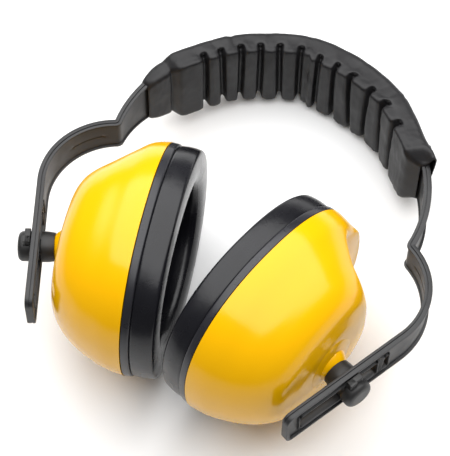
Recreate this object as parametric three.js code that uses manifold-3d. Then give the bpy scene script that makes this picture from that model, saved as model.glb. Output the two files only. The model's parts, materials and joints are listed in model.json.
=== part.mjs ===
// Earmuff hearing protector: two ear cups on a sprung, padded headband.
// Millimetres, +Z up. The object lies on its side: the cups and the pad rest on Z = 0, the crown of the
// headband points along +Y, and the right-hand cup is on the +X side.
import * as THREE from 'three';
import { mergeVertices } from 'three/addons/utils/BufferGeometryUtils.js';
import Module from 'manifold-3d';

const wasm = await Module();
wasm.setup();

// ---------------------------------------------------------------- driving dimensions
const GAP = 0.3;                       // clearance between neighbouring pieces
const REST_TILT = 12.3;                // degrees the headband plane slopes down towards the crown

const STRAP = { thick: 3.2, armHalf: 8.8, kinkHalf: 7.5, crownHalf: 11.4, endRound: 5 };
const ARM = { endX: 54.3, endY: -30.2, lean: 24.85, length: 57.8 };
const BOW = { radius: 29.4, sweep: 88.6 };
const CROWN = { top: 129.2, startHeading: 81.8, startHandle: 31.6, topHandle: 35.2 };
const SLOT = { start: 6.5, end: 44.5, half: 4, notchStart: 46.5, notchEnd: 50, rounding: 0.45 };
const WIDEN = { first: 10, firstBy: 1.6, last: 24 };   // beyond the kink, the strap widens to the crown's

const PAD = { start: 30, half: 17.2, outside: 3, inside: 7.6, skin: 1, edge: 2.2, sideSkin: 1.6, lining: 1.5 };

const CUP = { x: 25.4, y: 13.4, lean: 14, long: 47.2, wide: 41.2, depth: 33, wall: 2.4, power: 2.2 };
const PLATE = { thick: 3.2, tongue: 3, tongueWall: 1.8, holeInset: 17 };
const CUSHION = { inset: 1.4, width: 13.4, height: 9.2, skin: 0.8, outerEdge: 2.4, innerEdge: 2.1 };
const SCOOP = { shelf: 9.5, floor: [[9.5, 35], [20.4, 25.5], [33, 20]] };   // the floor as [z, x]
const TAB = { half: 15, inset: 0.6 };                  // sticks out of the rim, above the scoop
const FOAM = { front: 4, back: 22, clear: 0.5, wall: 9, taper: 6, floor: 9 };

const PIVOT = { along: 31.3, ballBehind: 13, ball: 5.2, shaft: 2.8 };
const BOSS = { dome: 7.6, back: 24, mouth: 4.4 };      // the dome's centre is the ball's
const SEAT = { bore: 2, clear: 1.2 };
const COLLAR = { radius: 6.1, taper: 5.7, taperFrom: 2.6 };
const KNOB = { radius: 6, length: 5.4, foot: 0.4, crown: 1.8, cap: 2, key: [6.4, 4, 3], keyRise: 0.4 };
const GUIDE = { long: 10, cut: 1.4 };
const BEYOND = 200;                                    // past everything, for cutting blocks

const halfStrap = STRAP.thick / 2;
const plateFront = -GAP - PLATE.thick;             // all three along the cup's own axis
const cushionBack = plateFront - GAP;
const cushionFace = cushionBack - CUSHION.height;

// ---------------------------------------------------------------- materials
const finish = (color, roughness) => new THREE.MeshStandardMaterial({ color, roughness, metalness: 0 });
const MATERIALS = {
  yellow: finish(0xffc800, 0.2),
  strap: finish(0x2c2c2e, 0.45),
  vinyl: finish(0x1d1c1f, 0.5),
  plate: finish(0x2e3034, 0.35),
  foam: finish(0x3a3a3c, 0.95),
  fitting: finish(0x242427, 0.4),
};

// ---------------------------------------------------------------- solids
function toSolid(geometry, matrix) {
  const plain = geometry.clone();
  plain.deleteAttribute('normal');
  plain.deleteAttribute('uv');
  if (matrix) plain.applyMatrix4(matrix);
  const merged = mergeVertices(plain, 1e-4);
  const corners = merged.index.array;
  const triangles = [];
  for (let i = 0; i < corners.length; i += 3) {
    const [a, b, c] = corners.slice(i, i + 3);
    if (a !== b && b !== c && c !== a) triangles.push(a, b, c);
  }
  return new wasm.Manifold(new wasm.Mesh({
    numProp: 3,
    vertProperties: new Float32Array(merged.attributes.position.array),
    triVerts: new Uint32Array(triangles),
  }));
}

function toGeometry(solid) {
  const mesh = solid.getMesh();
  const geometry = new THREE.BufferGeometry();
  geometry.setAttribute('position', new THREE.BufferAttribute(mesh.vertProperties, mesh.numProp));
  geometry.setIndex(new THREE.BufferAttribute(mesh.triVerts, 1));
  return geometry;
}

const at = (x, y, z) => new THREE.Matrix4().makeTranslation(x, y, z);

function box(sizes, centre) {
  return toSolid(new THREE.BoxGeometry(...sizes), at(...centre));
}

// a turned piece on the local z axis, from (radius, z) pairs
function turned(profile, matrix = new THREE.Matrix4(), segments = 20) {
  const points = profile.map(([r, z]) => new THREE.Vector2(r, z));
  const upright = new THREE.Matrix4().makeRotationX(Math.PI / 2);
  return toSolid(new THREE.LatheGeometry(points, segments), matrix.clone().multiply(upright));
}

function rod(radius, from, to, matrix) {
  return turned([[0, from], [radius, from], [radius, to], [0, to]], matrix);
}

// a flat outline, extruded equally to both sides of its plane
function slab(points, halfDepth, bevel = 0, matrix = new THREE.Matrix4()) {
  const geometry = new THREE.ExtrudeGeometry(new THREE.Shape(points), {
    depth: 2 * (halfDepth - bevel),
    bevelEnabled: bevel > 0,
    bevelSize: bevel,
    bevelThickness: bevel,
    bevelOffset: -bevel,
    bevelSegments: 2,
    curveSegments: 8,
  });
  return toSolid(geometry, matrix.clone().multiply(at(0, 0, bevel - halfDepth)));
}

// a squared oval: two half lengths (towards the crown and away from it) and a half width
function oval([crownward, endward, half], segments = 36) {
  const points = [];
  for (let i = 0; i < segments; i += 1) {
    const turn = (2 * Math.PI * i) / segments;
    const c = Math.cos(turn);
    const s = Math.sin(turn);
    const along = Math.sign(c) * Math.abs(c) ** (2 / CUP.power);
    const across = Math.sign(s) * Math.abs(s) ** (2 / CUP.power);
    points.push([along * (c > 0 ? crownward : endward), across * half]);
  }
  return points;
}

// a closed skin through ovals at rising z, with flat ends
function loft(sections) {
  const positions = [];
  const index = [];
  const rings = sections.map(([z, sizes]) => oval(sizes).map(([x, y]) => [x, y, z]));
  const count = rings[0].length;
  rings.forEach((ring) => ring.forEach((point) => positions.push(...point)));
  for (let r = 0; r + 1 < rings.length; r += 1) {
    for (let i = 0; i < count; i += 1) {
      const a = r * count + i;
      const b = r * count + ((i + 1) % count);
      index.push(a, b, b + count, a, b + count, a + count);
    }
  }
  const first = positions.length / 3;
  positions.push(0, 0, sections[0][0], 0, 0, sections.at(-1)[0]);
  const last = (rings.length - 1) * count;
  for (let i = 0; i < count; i += 1) {
    const next = (i + 1) % count;
    index.push(first, next, i, first + 1, last + i, last + next);
  }
  const geometry = new THREE.BufferGeometry();
  geometry.setAttribute('position', new THREE.Float32BufferAttribute(positions, 3));
  geometry.setIndex(index);
  return toSolid(geometry);
}

// ---------------------------------------------------------------- headband path, right-hand half
const headingOf = (degrees) => {
  const turn = THREE.MathUtils.degToRad(degrees);
  return new THREE.Vector2(Math.cos(turn), Math.sin(turn));
};

const armEnd = new THREE.Vector2(ARM.endX, ARM.endY);
const armHeading = headingOf(90 - ARM.lean);
const armTop = armEnd.clone().addScaledVector(armHeading, ARM.length);
const bowCentre = armTop.clone().addScaledVector(headingOf(180 - ARM.lean), BOW.radius);
const kink = bowCentre.clone().addScaledVector(headingOf(BOW.sweep - ARM.lean), BOW.radius);

const crownCurve = new THREE.CubicBezierCurve(
  kink,
  kink.clone().addScaledVector(headingOf(CROWN.startHeading), CROWN.startHandle),
  new THREE.Vector2(CROWN.topHandle, CROWN.top),
  new THREE.Vector2(0, CROWN.top),
);

function bowPoints(steps = 10) {
  const points = [];
  for (let i = 0; i <= steps; i += 1) {
    const turn = -ARM.lean + (BOW.sweep * i) / steps;
    points.push(bowCentre.clone().addScaledVector(headingOf(turn), BOW.radius));
  }
  return points;
}

function crownPoints(from, steps = 12) {
  const length = crownCurve.getLength();
  const points = [];
  for (let i = 0; i <= steps; i += 1) {
    points.push(crownCurve.getPointAt((from + ((length - from) * i) / steps) / length));
  }
  return points;
}

// the path moved sideways, positive away from the head, with mitred corners
function offsetPath(path, distance) {
  return path.map((point, i) => {
    const before = path[Math.max(i - 1, 0)];
    const after = path[Math.min(i + 1, path.length - 1)];
    const normals = [];
    if (i > 0) normals.push(point.clone().sub(before).normalize());
    if (i + 1 < path.length) normals.push(after.clone().sub(point).normalize());
    const sides = normals.map((d) => new THREE.Vector2(d.y, -d.x));
    const sum = sides.reduce((a, b) => a.clone().add(b));
    const scale = sides.length === 2 ? 1 + sides[0].dot(sides[1]) : 1;
    return point.clone().addScaledVector(sum, distance / scale);
  });
}

function ribbon(path, outside, inside) {
  return [...offsetPath(path, outside), ...offsetPath(path, -inside).reverse()];
}

const halfGap = GAP / 2;
const crownCut = () => box([BEYOND, 2 * BEYOND, BEYOND], [BEYOND / 2 + halfGap, 0, 0]);

// ---------------------------------------------------------------- headband pieces
function armFrame(along) {
  const origin = armEnd.clone().addScaledVector(armHeading, along);
  const group = new THREE.Matrix4().makeBasis(
    new THREE.Vector3(armHeading.x, armHeading.y, 0),
    new THREE.Vector3(0, 0, 1),
    new THREE.Vector3(armHeading.y, -armHeading.x, 0),
  );
  return group.setPosition(origin.x, origin.y, 0);
}

function roundEndedHole(from, to, half) {
  const shape = new THREE.Shape();
  const round = Math.min(half, (to - from) / 2) * SLOT.rounding;
  shape.moveTo(from + round, -half);
  shape.lineTo(to - round, -half);
  shape.quadraticCurveTo(to, -half, to, -half + round);
  shape.lineTo(to, half - round);
  shape.quadraticCurveTo(to, half, to - round, half);
  shape.lineTo(from + round, half);
  shape.quadraticCurveTo(from, half, from, half - round);
  shape.lineTo(from, -half + round);
  shape.quadraticCurveTo(from, -half, from + round, -half);
  return shape;
}

// outline of the strap's width, drawn in the plane that holds Y and Z
function widthOutline() {
  const end = ARM.endY - halfStrap;
  const round = STRAP.endRound;
  const half = [
    [end, STRAP.armHalf - round],
    [end + round * 0.3, STRAP.armHalf - round * 0.3],
    [end + round, STRAP.armHalf],
    [armTop.y, STRAP.armHalf],
    [kink.y, STRAP.kinkHalf],
    [kink.y + WIDEN.first, STRAP.kinkHalf + WIDEN.firstBy],
    [kink.y + WIDEN.last, STRAP.crownHalf],
    [CROWN.top + STRAP.thick, STRAP.crownHalf],
  ];
  const lower = half.map(([y, z]) => new THREE.Vector2(y, -z));
  const upper = half.reverse().map(([y, z]) => new THREE.Vector2(y, z));
  return [...lower, ...upper];
}

function strapSolid() {
  const path = [armEnd, ...bowPoints(), ...crownPoints(0).slice(1)];
  const side = slab(ribbon(path, halfStrap, halfStrap), 2 * STRAP.crownHalf);
  const lie = new THREE.Matrix4().makeBasis(
    new THREE.Vector3(0, 1, 0),
    new THREE.Vector3(0, 0, 1),
    new THREE.Vector3(1, 0, 0),
  );
  const width = toSolid(new THREE.ExtrudeGeometry(new THREE.Shape(widthOutline()), {
    depth: BEYOND,
    bevelEnabled: false,
  }), lie);
  let strap = side.intersect(width).intersect(crownCut());
  for (const [from, to] of [[SLOT.start, SLOT.end], [SLOT.notchStart, SLOT.notchEnd]]) {
    const hole = roundEndedHole(from, to, SLOT.half);
    const depth = 3 * STRAP.thick;
    const cutter = new THREE.ExtrudeGeometry(hole, { depth, bevelEnabled: false, curveSegments: 4 });
    strap = strap.subtract(toSolid(cutter, armFrame(0).multiply(at(0, 0, -depth / 2))));
  }
  return strap;
}

function padSolids() {
  const path = crownPoints(PAD.start, 10);
  const within = crownPoints(PAD.start - PAD.inside, 12);
  const foamHalf = PAD.half - PAD.sideSkin;
  const cut = crownCut();
  const outer = slab(ribbon(path, PAD.outside, PAD.inside), PAD.half, PAD.edge);
  const strapRoom = slab(ribbon(within, halfStrap + GAP, halfStrap + GAP), STRAP.crownHalf + GAP);
  const foamRoom = slab(
    ribbon(within, -halfStrap, PAD.inside - PAD.skin),
    foamHalf,
  );
  const cover = outer.subtract(strapRoom).subtract(foamRoom).intersect(cut);
  const foam = slab(
    ribbon(crownPoints(PAD.start + PAD.lining, 10), -halfStrap - 2 * GAP, PAD.inside - PAD.skin - GAP),
    foamHalf - GAP,
  ).intersect(cut);
  return { cover, foam };
}

// ---------------------------------------------------------------- ear cup pieces, along the cup's own z
const grow = ([crownward, endward, half], by) => [crownward + by, endward + by, half + by];
const rim = [CUP.long, CUP.long, CUP.wide];

// the bucket's outside at rising depth
function bucket(by, lift) {
  const shape = [
    [0, rim],
    [0.08, [46.9, 46.9, 40.8]],
    [0.22, [45.9, 46.2, 39.6]],
    [0.36, [41.6, 44.6, 37.6]],
    [0.62, [33.6, 40.6, 33.6]],
    [0.83, [27.8, 35.2, 28.8]],
    [0.94, [24.4, 31, 24.6]],
    [1, [20.6, 26.6, 20.4]],
  ];
  return shape.map(([z, sizes]) => [z * (CUP.depth + lift), grow(sizes, by)]);
}

// the flat scoop that the crown end of the bucket is cut back to, behind the rim
function scoopBlock(wall) {
  const outline = [
    ...SCOOP.floor.map(([z, x]) => new THREE.Vector2(x - wall, z - wall)),
    new THREE.Vector2(BEYOND, CUP.depth - wall),
    new THREE.Vector2(BEYOND, SCOOP.shelf - wall),
  ];
  const upright = new THREE.Matrix4().makeRotationX(Math.PI / 2);
  return slab(outline, BEYOND, 0, upright);
}

// the tab of the rim that stands over the scoop
function tabSolid() {
  const block = loft([[0, rim], [SCOOP.shelf, grow(rim, -TAB.inset)]]);
  return block.intersect(box([CUP.long, 2 * TAB.half, CUP.depth], [CUP.long, 0, 0]));
}

// the space inside the shell, kept `clear` away from its walls
function hollowSolid(clear) {
  const wall = CUP.wall + clear;
  const sections = bucket(-wall, -wall);
  sections[0][0] = -1;
  return loft(sections).subtract(scoopBlock(wall));
}

function shellSolid(ball) {
  const boss = at(ball.x, 0, 0);
  const outside = loft(bucket(0, 0)).subtract(scoopBlock(0)).add(tabSolid());
  const dome = turned(ballProfile(BOSS.dome, ball.z, 12), boss, 24);
  const bossBody = rod(BOSS.dome, BOSS.back, ball.z, boss).add(dome);
  const socket = turned(ballProfile(PIVOT.ball + GAP, ball.z), boss);
  const bore = rod(PIVOT.ball + GAP, BOSS.back - 1, ball.z, boss);
  const mouth = rod(BOSS.mouth, ball.z, ball.z + BOSS.dome + 1, boss);
  const hollow = hollowSolid(0).subtract(bossBody);
  return outside.add(bossBody).subtract(hollow).subtract(socket).subtract(bore).subtract(mouth);
}

function ballProfile(radius, centre, steps = 8) {
  const points = [];
  for (let i = 0; i <= steps; i += 1) {
    const turn = (Math.PI * i) / steps;
    points.push([radius * Math.sin(turn), centre - radius * Math.cos(turn)]);
  }
  points[0][0] = 0;
  points[steps][0] = 0;
  return points;
}

function seatSolid(ball) {
  const boss = at(ball.x, 0, 0);
  const top = ball.z - SEAT.clear;
  const body = turned([
    [SEAT.bore, BOSS.back + 1],
    [PIVOT.ball, BOSS.back + 1],
    [PIVOT.ball, top],
    [SEAT.bore, top],
    [SEAT.bore, BOSS.back + 1],
  ], boss);
  return body.subtract(turned(ballProfile(PIVOT.ball + GAP, ball.z), boss));
}

function cupFoamSolid() {
  const half = (FOAM.back - FOAM.front) / 2;
  const layer = box([BEYOND, BEYOND, 2 * half], [0, 0, FOAM.front + half]);
  const ear = loft([
    [FOAM.front - 1, grow(rim, -FOAM.wall)],
    [FOAM.back - FOAM.floor, grow(rim, -FOAM.wall - FOAM.taper)],
  ]);
  return hollowSolid(FOAM.clear).intersect(layer).subtract(ear);
}

function plateSolid() {
  const tongueOuter = -CUP.wall - 3 * GAP;
  const tongueInner = tongueOuter - PLATE.tongueWall;
  const sunk = -PLATE.thick / 2;
  const above = PLATE.tongue + PLATE.thick;
  const ring = loft([[plateFront, grow(rim, -GAP)], [-GAP, grow(rim, -GAP / 3)]]);
  const tongue = loft([[sunk, grow(rim, tongueOuter)], [PLATE.tongue, grow(rim, tongueOuter - GAP)]]);
  const inner = loft([[sunk, grow(rim, tongueInner)], [above, grow(rim, tongueInner)]]);
  const hole = loft([[2 * plateFront, grow(rim, -PLATE.holeInset)], [above, grow(rim, -PLATE.holeInset)]]);
  return ring.add(tongue).subtract(inner).subtract(hole);
}

// the cushion's ring: outer wall, rounded face edges and ear hole, all moved inward by `by`
function cushionRing(by, back) {
  const outer = -CUSHION.inset - by;
  const inner = -CUSHION.inset - CUSHION.width + by;
  const face = cushionFace + by;
  const { outerEdge, innerEdge } = CUSHION;
  const body = loft([
    [face, grow(rim, outer - outerEdge)],
    [face + outerEdge / 3, grow(rim, outer - outerEdge / 3)],
    [face + outerEdge, grow(rim, outer)],
    [back, grow(rim, outer)],
  ]);
  const hole = loft([
    [face - 0.1, grow(rim, inner + innerEdge)],
    [face + innerEdge / 3, grow(rim, inner + innerEdge / 3)],
    [face + innerEdge, grow(rim, inner)],
    [back + 1, grow(rim, inner)],
  ]);
  return body.subtract(hole);
}

function cushionSolids() {
  const cover = cushionRing(0, cushionBack).subtract(cushionRing(CUSHION.skin, cushionBack + 1));
  const foam = cushionRing(CUSHION.skin + GAP, cushionBack - GAP);
  return { cover, foam };
}

// ---------------------------------------------------------------- pivot pieces, along the arm's own z
function knobSolid(keySide) {
  const seat = halfStrap + GAP;
  const tip = seat + KNOB.length;
  const body = turned([
    [0, seat],
    [KNOB.radius - KNOB.foot, seat],
    [KNOB.radius, seat + KNOB.foot],
    [KNOB.radius, tip - KNOB.crown],
    [KNOB.radius - 0.4 * KNOB.crown, tip - 0.4 * KNOB.crown],
    [KNOB.radius - 1.2 * KNOB.crown, tip - 0.1 * KNOB.crown],
    [0, tip],
  ]);
  const [long, tall, deep] = KNOB.key;
  const key = box([long, tall, deep], [0, keySide * (KNOB.radius + KNOB.keyRise), seat + deep / 2]);
  const bore = rod(PIVOT.shaft + halfGap, -STRAP.thick, tip - KNOB.cap);
  return body.add(guideSolid(seat)).add(key).subtract(bore);
}

// the block with cut corners that slides in the arm's slot
function guideSolid(seat) {
  const x = GUIDE.long / 2;
  const y = SLOT.half - GAP;
  const cut = GUIDE.cut;
  const corners = [
    [x, y - cut], [x - cut, y], [cut - x, y], [-x, y - cut],
    [-x, cut - y], [cut - x, -y], [x - cut, -y], [x, cut - y],
  ];
  const outline = corners.map((corner) => new THREE.Vector2(...corner));
  return slab(outline, halfStrap, 0, at(0, 0, seat - halfStrap + GAP / 3));
}

// from the arm to the boss's dome, which its hollow end rides on
function collarSolid() {
  const seat = BOSS.dome + GAP;
  const front = -halfStrap - GAP;
  const back = Math.sqrt(seat ** 2 - COLLAR.taper ** 2) - PIVOT.ballBehind;
  const inner = PIVOT.shaft + halfGap;
  const ring = turned([
    [inner, back],
    [COLLAR.taper, back],
    [COLLAR.radius, front - COLLAR.taperFrom],
    [COLLAR.radius, front],
    [inner, front],
    [inner, back],
  ]);
  return ring.subtract(turned(ballProfile(seat, -PIVOT.ballBehind, 16)));
}

function studSolid() {
  const tip = halfStrap + KNOB.length - KNOB.cap;
  const shaft = rod(PIVOT.shaft, -PIVOT.ballBehind, tip);
  return shaft.add(turned(ballProfile(PIVOT.ball, -PIVOT.ballBehind)));
}

// ---------------------------------------------------------------- assembly
const earmuff = new THREE.Group();
const headbandPlane = new THREE.Group();
headbandPlane.rotation.x = THREE.MathUtils.degToRad(-REST_TILT);
earmuff.add(headbandPlane);

function piece(name, solid, material) {
  const mesh = new THREE.Mesh(toGeometry(solid), MATERIALS[material]);
  mesh.name = name;
  return mesh;
}

// where the ball's centre lies, in the cup's own frame
function ballInCup() {
  const lean = THREE.MathUtils.degToRad(CUP.lean);
  const outward = new THREE.Vector2(Math.cos(lean), -Math.sin(lean));
  const crownward = new THREE.Vector2(Math.sin(lean), Math.cos(lean));
  const ball = armEnd.clone().addScaledVector(armHeading, PIVOT.along);
  ball.addScaledVector(new THREE.Vector2(armHeading.y, -armHeading.x), -PIVOT.ballBehind);
  ball.sub(new THREE.Vector2(CUP.x, CUP.y));
  return { x: ball.dot(crownward), z: ball.dot(outward) };
}

function cupFrame() {
  const lean = THREE.MathUtils.degToRad(CUP.lean);
  const frame = new THREE.Matrix4().makeBasis(
    new THREE.Vector3(Math.sin(lean), Math.cos(lean), 0),
    new THREE.Vector3(0, 0, 1),
    new THREE.Vector3(Math.cos(lean), -Math.sin(lean), 0),
  );
  return frame.setPosition(CUP.x, CUP.y, 0);
}

function sideOf(side) {
  const left = side === 'left';
  const half = new THREE.Group();
  if (left) half.rotation.y = Math.PI;             // every piece but the key is symmetric about Z = 0

  const pad = padSolids();
  half.add(piece(`headband_${side}`, strapSolid(), 'strap'));
  half.add(piece(`pad_cover_${side}`, pad.cover, 'vinyl'));
  half.add(piece(`pad_foam_${side}`, pad.foam, 'foam'));

  const pivot = new THREE.Group();
  pivot.applyMatrix4(armFrame(PIVOT.along));
  pivot.add(piece(`${side}_knob`, knobSolid(left ? -1 : 1), 'fitting'));
  pivot.add(piece(`${side}_collar`, collarSolid(), 'fitting'));
  pivot.add(piece(`${side}_ball_stud`, studSolid(), 'fitting'));

  const ball = ballInCup();
  const cushion = cushionSolids();
  const cup = new THREE.Group();
  cup.applyMatrix4(cupFrame());
  cup.add(piece(`${side}_cup_shell`, shellSolid(ball), 'yellow'));
  cup.add(piece(`${side}_ball_seat`, seatSolid(ball), 'fitting'));
  cup.add(piece(`${side}_cup_foam`, cupFoamSolid(), 'foam'));
  cup.add(piece(`${side}_base_plate`, plateSolid(), 'plate'));
  cup.add(piece(`${side}_cushion_cover`, cushion.cover, 'vinyl'));
  cup.add(piece(`${side}_cushion_foam`, cushion.foam, 'foam'));

  half.add(pivot, cup);
  return half;
}

headbandPlane.add(sideOf('left'), sideOf('right'));

// the origin is the middle of the underside of the whole object
earmuff.updateMatrixWorld(true);
const bounds = new THREE.Box3().setFromObject(earmuff, true);
const middle = bounds.getCenter(new THREE.Vector3());
headbandPlane.position.set(-middle.x, -middle.y, -bounds.min.z);

export default earmuff;
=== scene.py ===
"""Earmuff hearing protector: its looks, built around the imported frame. Blender 4.5, metres."""

import json
import math

import bmesh
import bpy
import numpy as np
from mathutils import Matrix, Vector, noise


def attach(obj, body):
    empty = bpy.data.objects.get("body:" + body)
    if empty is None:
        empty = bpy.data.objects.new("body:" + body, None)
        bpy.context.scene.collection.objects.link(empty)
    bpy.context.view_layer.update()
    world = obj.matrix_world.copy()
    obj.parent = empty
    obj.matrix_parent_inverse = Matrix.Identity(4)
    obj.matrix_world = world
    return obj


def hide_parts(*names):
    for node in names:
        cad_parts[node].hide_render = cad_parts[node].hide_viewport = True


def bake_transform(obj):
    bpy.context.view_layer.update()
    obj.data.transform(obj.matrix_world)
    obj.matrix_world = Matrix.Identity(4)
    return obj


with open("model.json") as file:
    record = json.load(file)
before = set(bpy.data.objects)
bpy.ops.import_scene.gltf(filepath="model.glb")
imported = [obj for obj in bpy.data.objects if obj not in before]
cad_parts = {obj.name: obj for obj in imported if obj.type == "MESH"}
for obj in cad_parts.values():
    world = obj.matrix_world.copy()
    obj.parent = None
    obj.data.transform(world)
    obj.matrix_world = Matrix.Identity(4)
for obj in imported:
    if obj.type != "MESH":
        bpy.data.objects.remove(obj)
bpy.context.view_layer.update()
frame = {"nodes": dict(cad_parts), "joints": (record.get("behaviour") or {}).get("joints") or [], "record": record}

MM = 0.001
SIDES = ("right", "left")

# ------------------------------------------------------------ driving dimensions, mm
STRAP_HALF = 1.6                  # half the strap's thickness
ARM = {"end": (54.3, -30.2), "lean": 24.85, "length": 57.8, "half": 8.8, "round": 3.6}
BOW = {"radius": 29.4, "sweep": 88.6}
KINK_HALF = 7.5
CROWN = {"top": 129.2, "heading": 81.8, "handle": 31.6, "top_handle": 35.2, "half": 11.4}
SLOT = {"start": 6.5, "end": 44.5, "half": 4.0, "round": 1.6}
NOTCH = {"start": 46.5, "end": 50.0, "half": 4.0, "round": 1.0}
RIM = {"width": 1.0, "slope": 0.15, "outer_depth": 1.0, "inner_depth": 0.6, "edge": 0.35}
HOLE_RIM = {"width": 0.5, "slope": 0.2}               # the narrow raised border round the slot and the notch
# the fine line along the strap's edges, as share of the thickness and how far it sinks
EDGE_LINE = ((0.52, 0), (0.55, 0.5), (0.68, 0.5), (0.71, 0))
MIDDLE_LINE = {"half": 0.3, "depth": 0.4, "from_kink": (-22, -5)}     # the mould line inside the bow
WEB = {"steep": 0.2, "past": 0.5, "reach": 1.8}       # how the web between the slot and the notch slants

PAD = {"half": 17.2, "outside": 3.0, "inside": 7.6, "round": 3.0, "crisp": 1.3, "soft": 2.4, "skin": 0.8}
PAD_ENDS = {"left": 20.0, "right": 36.5}              # how far the pad's ends lie from the kinks
FLAP = 11.5                                           # the flat tongue at the left end, up to its pinch
GROOVES = {"count": 12, "first": 27.3, "pitch": 8.1, "growth": 0.135}
GROOVE = {"depth": 2.8, "floor": 0.4, "half": 1.8}    # one groove's section
CLIMB = {"high": 3.7, "extra": 2.0}                   # how far the grooves climb the pad's sides
SHOULDER = {"depth": 0.45, "from": 1.2, "to": 3.4}    # the rounded edges of the ribs
BENDS = (16.0, 41.0, 75.0, 120.0)                     # where the padded strap bends, from the pad's left end
FOLDS = {"swell": 0.5, "crease": 0.5, "crease_half": 2.0, "wave": 0.4, "ripple": 0.14}
PINCH = {"share": 0.24, "reach": 6.0}                 # the pad's right end draws in on its head side
FLARE = {"rise": 2.2, "reach": 13.0}                  # and its upper corner stands out

CUP = {"long": 47.2, "wide": 41.2, "depth": 33.0, "wall": 2.4, "power": 2.2}
SHELF = 9.5                       # how deep behind the rim the scoop at the crown end begins
TAB = {"flat": 11.5, "half": 17.0, "inset": 0.6}      # the part of the rim that stands over the scoop
LIP = {"round": 0.8, "sink": 0.55}                    # the rounding of the tab's lower edge
UNDERCUT = {"depth": 1.6, "height": 2.6}              # how the scoop's floor turns in under the tab
FLOOR_BLEND = 0.4                                     # how softly the bucket runs into the scoop's floor
BOSS = {"dome": 7.6, "mouth": 4.4, "foot": 34.8}
PLATE = {"front": -3.5, "back": -0.3, "hole": 17.0}
CUSHION = {"inset": 0.9, "width": 13.9, "back": -3.56, "face": -13.0}
SEAL_ALONG = 38.9                 # the seal face mount, from the cup's middle towards the crown
COLLAR = {"radius": 6.1, "taper": 5.7, "bore": 2.95, "ball_behind": 13.0}
KNOB = {"radius": 6.0, "length": 5.4, "guide": 9.2, "key": (6.4, 4.0, 3.0)}
GAP = 0.3

# ------------------------------------------------------------ frames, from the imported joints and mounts
joints = {j["name"]: j for j in frame["joints"]}
mounts = {m["name"]: m for m in frame["record"]["mounts"]}


def axes(x, y, z, origin):
    """A matrix from millimetres along three unit vectors to metres in the row frame."""
    m = Matrix.Identity(4)
    for i, axis in enumerate((x, y, z)):
        for r in range(3):
            m[r][i] = axis[r] * MM
    m.translation = origin
    return m


ACROSS = Vector(joints["headband_spread"]["axis"])
CROWNWARD = ACROSS.cross(Vector((1, 0, 0)))
HINGE = Vector(joints["headband_spread"]["pos_m"])
BAND = axes((1, 0, 0), CROWNWARD, ACROSS, HINGE - CROWNWARD * (CROWN["top"] + PAD["outside"]) * MM)


def cup_frame(side):
    """x towards the crown, z out of the cup, origin at the middle of the shell's rim."""
    mount = mounts[f"{side}_seal_face"]
    out = -Vector(mount["axis"])
    y = ACROSS if side == "right" else -ACROSS
    x = y.cross(out)
    origin = Vector(mount["pos_m"]) - x * SEAL_ALONG * MM - out * CUSHION["face"] * MM
    return axes(x, y, out, origin)


def arm_frame(side):
    """x up the arm, z out of the arm, origin where the pivot's shaft crosses the arm's middle."""
    out = Vector(joints[f"{side}_swivel"]["axis"])
    x = -Vector(joints[f"{side}_height"]["axis"])
    return axes(x, out.cross(x), out, Vector(joints[f"{side}_swivel"]["pos_m"]))


# ------------------------------------------------------------ small maths
def smooth(x, low, high):
    """A smooth step, from 0 at low to 1 at high."""
    t = np.clip((x - low) / (high - low), 0.0, 1.0)
    return t * t * (3 - 2 * t)


def bump(x, centre, width):
    """A bell of height 1."""
    return np.exp(-(((x - centre) / width) ** 2))


def edge_drop(distance, radius):
    """How far a rounded edge lies below its face, at a distance in from the edge."""
    inside = np.clip(radius - distance, 0.0, radius)
    return radius - np.sqrt(np.maximum(radius**2 - inside**2, 0.0))


def smooth_rows(keys, stops):
    """Rows of values through the keys (position, values...), as a Hermite curve, at the given stops."""
    keys = np.array(keys, float)
    x, y = keys[:, 0], keys[:, 1:]
    chord = np.diff(y, axis=0) / np.diff(x)[:, None]
    slope = np.vstack([chord[:1], (chord[:-1] + chord[1:]) / 2, chord[-1:]])
    rows = []
    for s in stops:
        i = int(np.clip(np.searchsorted(x, s) - 1, 0, len(x) - 2))
        h = x[i + 1] - x[i]
        t = (s - x[i]) / h
        low = (2 * t**3 - 3 * t**2 + 1) * y[i] + (t**3 - 2 * t**2 + t) * h * slope[i]
        high = (3 * t**2 - 2 * t**3) * y[i + 1] + (t**3 - t**2) * h * slope[i + 1]
        rows.append(low + high)
    return np.array(rows)


def stops(*marks):
    """Numbers from mark to mark: stops(a, (b, n), (c, m)) has n steps from a to b, and m from b to c."""
    values = [float(marks[0])]
    for end, count in marks[1:]:
        values += list(np.linspace(values[-1], end, count + 1)[1:])
    return np.array(values)


# ------------------------------------------------------------ meshes
LATHE_SEGMENTS = 64


def piece(name, points, faces, matrix, material, sharp=40):
    """An object from points in the matrix's millimetres, with edges above the sharp angle kept hard."""
    mesh = bpy.data.meshes.new(name)
    mesh.from_pydata([matrix @ Vector(p) for p in points], [], faces)
    bm = bmesh.new()
    bm.from_mesh(mesh)
    bmesh.ops.remove_doubles(bm, verts=bm.verts, dist=1e-7)
    bmesh.ops.recalc_face_normals(bm, faces=bm.faces)
    bm.to_mesh(mesh)
    bm.free()
    mesh.shade_smooth()
    mesh.set_sharp_from_angle(angle=math.radians(sharp))
    mesh.materials.append(material)
    made = bpy.data.objects.new(name, mesh)
    bpy.context.scene.collection.objects.link(made)
    return made


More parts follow.
